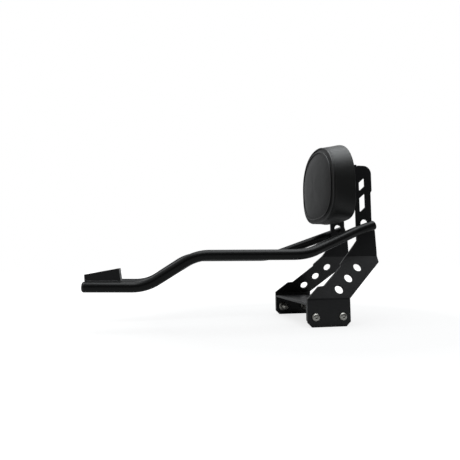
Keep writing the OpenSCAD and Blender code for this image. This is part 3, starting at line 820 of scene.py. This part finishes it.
class BACKREST_OT_pad(bpy.types.Operator):
    """Makes the upholstered pad: the swollen cover, its two welts, stitches, wrapped back and staples"""
    bl_idname = "backrest.pad"
    bl_label = "Pad"

    def execute(self, context):
        sizes = context.scene.backrest_sizes
        angles = outline_angles(PAD_COLUMNS)
        cover, place = self.skin(angles)
        swell(cover, self.held(cover.data, place), sizes.swell_limit)
        self.gather(cover, place, sizes.pucker)
        self.open_back(cover)
        shell = cover.modifiers.new("Thickness", "SOLIDIFY")
        shell.thickness = sizes.cover_thickness
        shell.offset = -1.0
        piece = dress("pad_upholstery", baked_mesh(cover), "pad_vinyl", 60)
        hand_over(piece, "pad_vinyl", "pad_cover")
        surface = BVHTree.FromObject(piece, bpy.context.evaluated_depsgraph_get())
        self.filling(sizes, angles)
        self.welts(sizes, angles)
        self.seams(sizes, angles, surface)
        self.staples(sizes)
        return {"FINISHED"}

    def skin(self, angles):
        """The cover before it swells, and the place X, inset (both in mm) and angle of each vertex."""
        rows = smooth_profile(3.0)
        build = bmesh.new()
        made = add_rings(build, [[outline_point(a, row.y * MM, row.x * MM) for a in angles] for row in rows])
        bmesh.ops.recalc_face_normals(build, faces=build.faces)
        build.verts.index_update()
        place = {}
        for row, ring in zip(rows, made):
            for angle, vertex in zip(angles, ring):
                place[vertex.index] = (row.x, row.y, angle)
        mesh = bpy.data.meshes.new("pad_skin")
        build.to_mesh(mesh)
        build.free()
        return link(bpy.data.objects.new("pad_skin", mesh)), place

    def held(self, mesh, place):
        """How firmly each vertex is held: fully at the front seam and over the board's edge."""
        pinned = {}
        for vertex in mesh.vertices:
            x, inset, _ = place.get(vertex.index, (18.0 if vertex.co.x < 0.05 else 80.3, 95.0, 0.0))
            seam = bump_up(x - 28.0, 7.0) if inset < 12 else 0.0
            hold = max(seam, (x - 70) / 7)
            if hold > 0.02:
                pinned[vertex.index] = min(1.0, hold * 1.4)
        return pinned

    def gather(self, cover, place, height):
        """Small gathers that run away from the seams, deeper at the corners, and slow unevenness."""
        cover.data.update()
        shifts = []
        for vertex in cover.data.vertices:
            x, inset, angle = place.get(vertex.index, (18.0, 95.0, 0.0))
            corner = abs(math.sin(2 * angle))
            low = 1.6 if math.sin(angle) < -0.2 else 1.0
            beside_front = bump_up(inset - 10.5, 13.0) if x < 27 else 0.0
            beside_side = bump_up(x - 33.0, 11.0) if inset < 3 and x > 31 else 0.0
            beside_back = bump_up(x - 74.0, 12.0) if x > 60 else 0.0
            near = beside_front * 0.7 + beside_side * 0.8 + beside_back
            wave = math.sin(angle * 61 + 1.7 * math.sin(angle * 9)) * 0.6 + math.sin(angle * 97 + 2.0) * 0.4
            slow = noise.noise(vertex.co * 22.0) * 0.5 * MM + noise.noise(vertex.co * 55.0) * 0.18 * MM
            calm = 1.0 if inset < 60 else 0.4
            amount = height * near * (0.25 + 0.75 * corner ** 3) * low * wave + slow * calm * (x < 78)
            shifts.append(vertex.normal * amount)
        for vertex, shift in zip(cover.data.vertices, shifts):
            vertex.co += shift
        cover.data.update()

    def open_back(self, cover):
        """Takes out the fan that closed the cover over the back of the board."""
        build = bmesh.new()
        build.from_mesh(cover.data)
        middle = [v for v in build.verts
                  if v.co.x > BACK_EDGE and Vector((v.co.y, v.co.z - PAD_MIDDLE)).length < 30 * MM]
        bmesh.ops.delete(build, geom=middle, context="VERTS")
        build.to_mesh(cover.data)
        build.free()

    def filling(self, sizes, angles):
        """The foam under the cover, with wells for the ends of the pad's screws."""
        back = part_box("pad_foam")[1].x
        rows = [row for row in smooth_profile(6.0) if row.x * MM < back - 5 * MM]
        rings = [[outline_point(a, (row.y + 2.6) * MM, (row.x + 2.2) * MM) for a in angles] for row in rows]
        rings.append([outline_point(a, 4 * MM, back) for a in angles])
        build = bmesh.new()
        add_rings(build, rings)
        outward(build)
        block = piece_from("pad_filling", build, "foam", 50)
        flange = 1.6 * sizes.screw_diameter
        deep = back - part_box("pad_screws")[0].x + 2 * MM
        well = [(-deep, flange + 1 * MM), (2 * MM, flange + 1 * MM)]
        wells = bmesh.new()
        for y, z in corner_places("pad_inserts", flange):
            turned_body(wells, (back, y, z), (1, 0, 0), well, 32)
        outward(wells)
        cutter = piece_from("wells", wells, "foam")
        cut = block.modifiers.new("Wells", "BOOLEAN")
        cut.operation = "DIFFERENCE"
        cut.solver = "EXACT"
        cut.object = cutter
        mesh = baked_mesh(block)
        bpy.data.objects.remove(cutter)
        hand_over(dress("pad_filling", mesh, "foam", 50), "foam", "pad_foam")

    def welts(self, sizes, angles):
        """Two cords round the front panel."""
        parts = []
        for x, inset in WELT_ROWS:
            route = [outline_point(a, inset * MM, x * MM) for a in angles]
            path = line_mesh("welt_path", route, closed=True)
            parts.append(bake("welt", path, swept_tree, "piping_vinyl", 60,
                              Radius=sizes.welt_diameter / 2, Sides=14))
        hand_over(joined("pad_welts", parts, "piping_vinyl", 60), "piping_vinyl", "pad_piping")

    def seams(self, sizes, angles, surface):
        """Rows of stitches beside the welts, laid on the finished cover."""
        parts = []
        for x, inset in STITCH_ROWS:
            route = []
            for angle in angles:
                point = outline_point(angle, inset * MM, x * MM)
                hit, normal, _, _ = surface.find_nearest(point)
                route.append(hit + normal * 0.08 * MM)
            path = line_mesh("stitch_path", route, closed=True)
            parts.append(bake("stitches", path, row_tree, "thread", 60, Step=sizes.stitch_step,
                              Long=sizes.stitch_length / 2, Wide=sizes.thread_thickness / 2,
                              High=sizes.thread_thickness / 2, Faces=6))
        hand_over(joined("pad_stitches", parts, "thread", 60), "piping_vinyl")

    def staples(self, sizes):
        """Staples that hold the turned edge of the cover on the board."""
        inset = sizes.wrap_width + 1 * MM
        route = [outline_point(a, inset, 80.5 * MM) for a in outline_angles(180)]
        path = line_mesh("staple_path", route, closed=True)
        piece = bake("cover_staples", path, staple_tree, "staple", Step=sizes.staple_step)
        hand_over(piece, "zinc_steel")


# Fasteners

def button_bolt(build, place, direction, sizes):
    """Button-head bolt with a hexagon socket; the direction points out of the head."""
    r = sizes.head_diameter / 2
    h = sizes.head_height
    shank = sizes.bolt_diameter / 2
    socket = 0.6 * sizes.bolt_diameter
    flat = 1.2 * r
    profile = [(-sizes.bolt_length, shank - 1.2 * MM), (-sizes.bolt_length + 1.0 * MM, shank - 0.35 * MM),
               (-18 * MM, shank - 0.35 * MM), (-17.4 * MM, shank), (-0.2 * MM, shank), (0, shank + 0.3 * MM),
               (0, r - 0.3 * MM), (0.25 * MM, r)]
    for k in range(1, 11):
        angle = math.pi / 2 * k / 10
        profile.append((0.14 * h + 0.86 * h * math.sin(angle), 0.42 * r + 0.58 * r * math.cos(angle)))
    profile += [(h, socket * 0.64), (h - 0.35 * MM, socket * 0.6, socket * 1.03),
                (h - 0.5 * MM, flat, socket), (h - 3.3 * MM, flat, socket), (h - 3.6 * MM, socket * 0.42)]
    turned_body(build, place, direction, profile, 72)


def flange_nut(build, place, direction, sizes):
    """Hexagon nut with a flange; the direction points away from its seat."""
    out = sizes.nut_flange / 2
    flats = sizes.nut_flats
    top = sizes.nut_height
    wide = 0.5 * flats / math.cos(math.pi / 6)
    bore = sizes.bolt_diameter / 2 + 0.1 * MM
    profile = [(0, bore), (0, out - 0.4 * MM), (0.4 * MM, out), (1.6 * MM, out), (2.1 * MM, out - 0.5 * MM),
               (3.6 * MM, wide + 0.4 * MM), (3.9 * MM, wide, flats), (top - 1 * MM, wide, flats),
               (top - 0.4 * MM, wide - 0.5 * MM, flats), (top, 0.5 * flats - 0.1 * MM),
               (top, bore + 0.6 * MM), (top - 0.5 * MM, bore), (0, bore)]
    turned_body(build, place, direction, profile, 72, False, False)


class BACKREST_OT_fasteners(bpy.types.Operator):
    """Makes the flange bolts with their threads and nuts, and the pad's screws and washers"""
    bl_idname = "backrest.fasteners"
    bl_label = "Bolts, nuts and screws"

    def execute(self, context):
        sizes = context.scene.backrest_sizes
        for word, side in SIDES.items():
            for end in ("front", "rear"):
                lo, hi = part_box(f"bolt_{end}_{word}")
                out = Vector((0, side, 0))
                middle = (lo + hi) / 2
                tip = hi.y if side > 0 else lo.y
                seat = Vector((middle.x, tip - side * sizes.head_height, middle.z))
                build = bmesh.new()
                button_bolt(build, seat, out, sizes)
                outward(build)
                shank = piece_from("bolt", build, "stainless", 32)
                base = seat - out * (sizes.bolt_length - 0.4 * MM)
                ridge = self.thread(base, out, sizes.bolt_diameter / 2, 19 * MM, 1.5 * MM)
                bolt = joined(f"flange_bolt_{end}_{word}", [shank, ridge], "stainless", 32)
                hand_over(bolt, "stainless", f"bolt_{end}_{word}")
                nut_lo, nut_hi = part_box(f"nut_{end}_{word}")
                nut_seat = nut_hi.y if side > 0 else nut_lo.y
                build = bmesh.new()
                flange_nut(build, Vector((middle.x, nut_seat, middle.z)), -out, sizes)
                turned_piece(f"flange_nut_{end}_{word}", build, "zinc_steel", f"nut_{end}_{word}")
        self.pad_screws(sizes)
        return {"FINISHED"}

    def thread(self, base, direction, radius, reach, pitch):
        """A screw thread from a base along a direction."""
        path = line_mesh("thread_path", [(0, 0, 0), (0, 0, 1)])
        ridge = bake("thread", path, screw_thread_tree, "stainless", Radius=radius - 0.3 * MM, Pitch=pitch,
                     Length=reach, Depth=0.42 * MM)
        axes = axes_along(direction)
        for vertex in ridge.data.vertices:
            vertex.co = Vector(base) + axes @ vertex.co
        return ridge

    def pad_screws(self, sizes):
        """Four cap screws and washers that hold the pad on its carrier, and the pad's hidden finishes."""
        sheet = sizes.carrier_sheet
        top = sheet + sizes.washer_sheet
        tip = top - sizes.screw_length
        r = sizes.screw_diameter / 2
        head = socket = 0.85 * sizes.screw_diameter
        screw = [(tip, r - 0.8 * MM), (tip + 0.8 * MM, r), (top, r), (top, head - 0.2 * MM),
                 (top + 0.3 * MM, head), (top + 3.3 * MM, head), (top + 3.96 * MM, head - 0.6 * MM),
                 (top + 3.96 * MM, socket * 0.62), (top + 3.6 * MM, socket, socket),
                 (top + 1.9 * MM, socket, socket), (top + 1.7 * MM, socket * 0.3)]
        washer = [(sheet, r + 0.2 * MM), (sheet, 2 * r - 0.15 * MM), (sheet + 0.2 * MM, 2 * r),
                  (top - 0.2 * MM, 2 * r), (top, 2 * r - 0.25 * MM), (top, r + 0.3 * MM),
                  (sheet, r + 0.2 * MM)]
        screws = bmesh.new()
        washers = bmesh.new()
        for y, z in corner_places("pad_screws", head):
            base = Vector((CARRIER_LO.x, y, z))
            turned_body(screws, base, (1, 0, 0), screw, 48)
            turned_body(washers, base, (1, 0, 0), washer, 48, False, False)
        turned_piece("cap_screws", screws, "black_steel", "pad_screws")
        turned_piece("plain_washers", washers, "black_steel", "pad_washers")
        slots = {item["node"]: item["material_slot"] for item in frame["record"]["subparts"]}
        for node in ("pad_board", "pad_inserts"):
            shown = frame["nodes"][node]
            shown.data.materials.clear()
            shown.data.materials.append(finish_of(slots[node]))


# Studio

class BACKREST_OT_studio(bpy.types.Operator):
    """Sets the floor, the soft lights, the surroundings and the camera"""
    bl_idname = "backrest.studio"
    bl_label = "Studio"

    def execute(self, context):
        scene = context.scene
        scene.view_settings.view_transform = "Standard"
        self.floor(scene)
        self.surroundings(scene)
        self.lamp("overhead", (0.05, -0.20, 1.75), (0.0, 0.0, 0.0), (2.2, 1.5), 36, (0.95, 0.985, 1.0))
        self.lamp("front", (-1.9, -0.25, 0.65), (0.0, 0.0, 0.2), (1.0, 1.2), 3.0, (1.0, 0.99, 0.97))
        self.camera(scene)
        return {"FINISHED"}

    def floor(self, scene):
        """Plain pale floor that keeps the shadow, and shows white to the camera further out."""
        reach = 7.0
        level = CAD_BOX[0][2] - 0.2 * MM
        build = bmesh.new()
        build.faces.new([build.verts.new((x * reach, y * reach, level))
                         for x, y in ((-1, -1), (1, -1), (1, 1), (-1, 1))])
        mesh = bpy.data.meshes.new("floor")
        build.to_mesh(mesh)
        build.free()
        paint = bpy.data.materials.new("studio_floor")
        paint.use_nodes = True
        tree = paint.node_tree
        shader = tree.nodes["Principled BSDF"]
        shader.inputs["Roughness"].default_value = 0.9
        shader.inputs["Specular IOR Level"].default_value = 0.1
        place = add_node(tree, "ShaderNodeTexCoord").outputs["Object"]
        speck = add_node(tree, "ShaderNodeTexNoise", Vector=place, Scale=3.0)
        tint = scene.backrest_colours.floor
        lighter = [min(1, channel * 1.02) for channel in tint]
        feed(tree, shader.inputs["Base Color"], mixed(tree, speck, (*tint, 1), (*lighter, 1)))
        away = add_node(tree, "ShaderNodeVectorMath", operation="LENGTH")
        feed(tree, away.inputs[0], place)
        fade = ranged(tree, away.outputs["Value"], (0.35, 1.1), (0.62, 1.0))
        seen = add_node(tree, "ShaderNodeLightPath").outputs["Is Camera Ray"]
        lift = worked_out(tree, "MULTIPLY", seen, fade)
        glow = add_node(tree, "ShaderNodeEmission", Strength=1.26)
        both = mixed_shaders(tree, lift, shader, glow)
        feed(tree, tree.nodes["Material Output"].inputs["Surface"], both)
        mesh.materials.append(paint)
        link(bpy.data.objects.new("floor", mesh))

    def surroundings(self, scene):
        """White to the eye; for light and gloss, bright above and behind and dark towards the viewer."""
        world = bpy.data.worlds.new("studio")
        scene.world = world
        world.use_nodes = True
        tree = world.node_tree
        tree.nodes.clear()
        place = add_node(tree, "ShaderNodeTexCoord")
        parts = add_node(tree, "ShaderNodeSeparateXYZ", Vector=place.outputs["Generated"])
        depth = ranged(tree, parts.outputs["Y"], (-0.3, 0.7), (0.01, 0.6))
        above = ranged(tree, parts.outputs["Z"], (0.25, 0.9), (0.0, 0.35))
        soft = add_node(tree, "ShaderNodeBackground", Color=(0.97, 0.985, 1.0, 1),
                        Strength=worked_out(tree, "ADD", depth, above))
        white = add_node(tree, "ShaderNodeBackground", Color=(1, 1, 1, 1))
        seen = add_node(tree, "ShaderNodeLightPath").outputs
        eye = worked_out(tree, "MAXIMUM", seen["Is Camera Ray"], seen["Is Transmission Ray"])
        pick = mixed_shaders(tree, eye, soft, white)
        add_node(tree, "ShaderNodeOutputWorld", Surface=pick)

    def lamp(self, name, place, aim, size, power, tint):
        """A large soft lamp that points at a place."""
        light = bpy.data.lights.new(name, "AREA")
        light.shape = "RECTANGLE"
        light.size, light.size_y = size
        light.energy = power
        light.color = tint
        lamp = link(bpy.data.objects.new(name, light))
        lamp.location = place
        lamp.rotation_euler = (Vector(aim) - Vector(place)).to_track_quat("-Z", "Y").to_euler()

    def camera(self, scene):
        """Camera at the photograph's place."""
        place = Vector((-0.3584, -0.9299, 0.0903))
        yaw, pitch, roll = 0.177, 0.083, -0.008
        level = math.cos(pitch)
        ahead = Vector((math.sin(yaw) * level, math.cos(yaw) * level, math.sin(pitch)))
        right = ahead.cross(Vector((0, 0, 1))).normalized()
        up = right.cross(ahead)
        c, s = math.cos(roll), math.sin(roll)
        right, up = c * right + s * up, c * up - s * right
        lens = bpy.data.cameras.new("camera")
        lens.sensor_width = 36
        lens.lens = 31.29
        lens.clip_start = 0.01
        camera = link(bpy.data.objects.new("camera", lens))
        turn = Matrix((right, up, -ahead)).transposed().to_4x4()
        camera.matrix_world = Matrix.Translation(place) @ turn
        scene.camera = camera


class BACKREST_PT_panel(bpy.types.Panel):
    """Lists the backrest's pieces and their sizes and colours"""
    bl_idname = "BACKREST_PT_panel"
    bl_label = "Motorcycle backrest"
    bl_space_type = "VIEW_3D"
    bl_region_type = "UI"
    bl_category = "Backrest"

    def draw(self, context):
        for step in OPERATORS:
            self.layout.operator(step.bl_idname)
        for group in (context.scene.backrest_sizes, context.scene.backrest_colours):
            box = self.layout.box()
            for name in group.__annotations__:
                box.prop(group, name)


OPERATORS = (BACKREST_OT_studio, BACKREST_OT_sheets, BACKREST_OT_rails, BACKREST_OT_welds, BACKREST_OT_pad,
             BACKREST_OT_fasteners)
CLASSES = (BackrestSizes, BackrestColours, *OPERATORS, BACKREST_PT_panel)


def register():
    """Registers the classes and the settings."""
    for item in CLASSES:
        bpy.utils.register_class(item)
    bpy.types.Scene.backrest_sizes = PointerProperty(type=BackrestSizes)
    bpy.types.Scene.backrest_colours = PointerProperty(type=BackrestColours)


def unregister():
    """Takes the settings and the classes out again."""
    del bpy.types.Scene.backrest_colours
    del bpy.types.Scene.backrest_sizes
    for item in reversed(CLASSES):
        bpy.utils.unregister_class(item)


def main():
    """Builds the whole backrest."""
    register()
    bpy.ops.backrest.studio()
    bpy.ops.backrest.sheets()
    bpy.ops.backrest.rails()
    bpy.ops.backrest.welds()
    bpy.ops.backrest.pad()
    bpy.ops.backrest.fasteners()


if __name__ == "__main__":
    main()
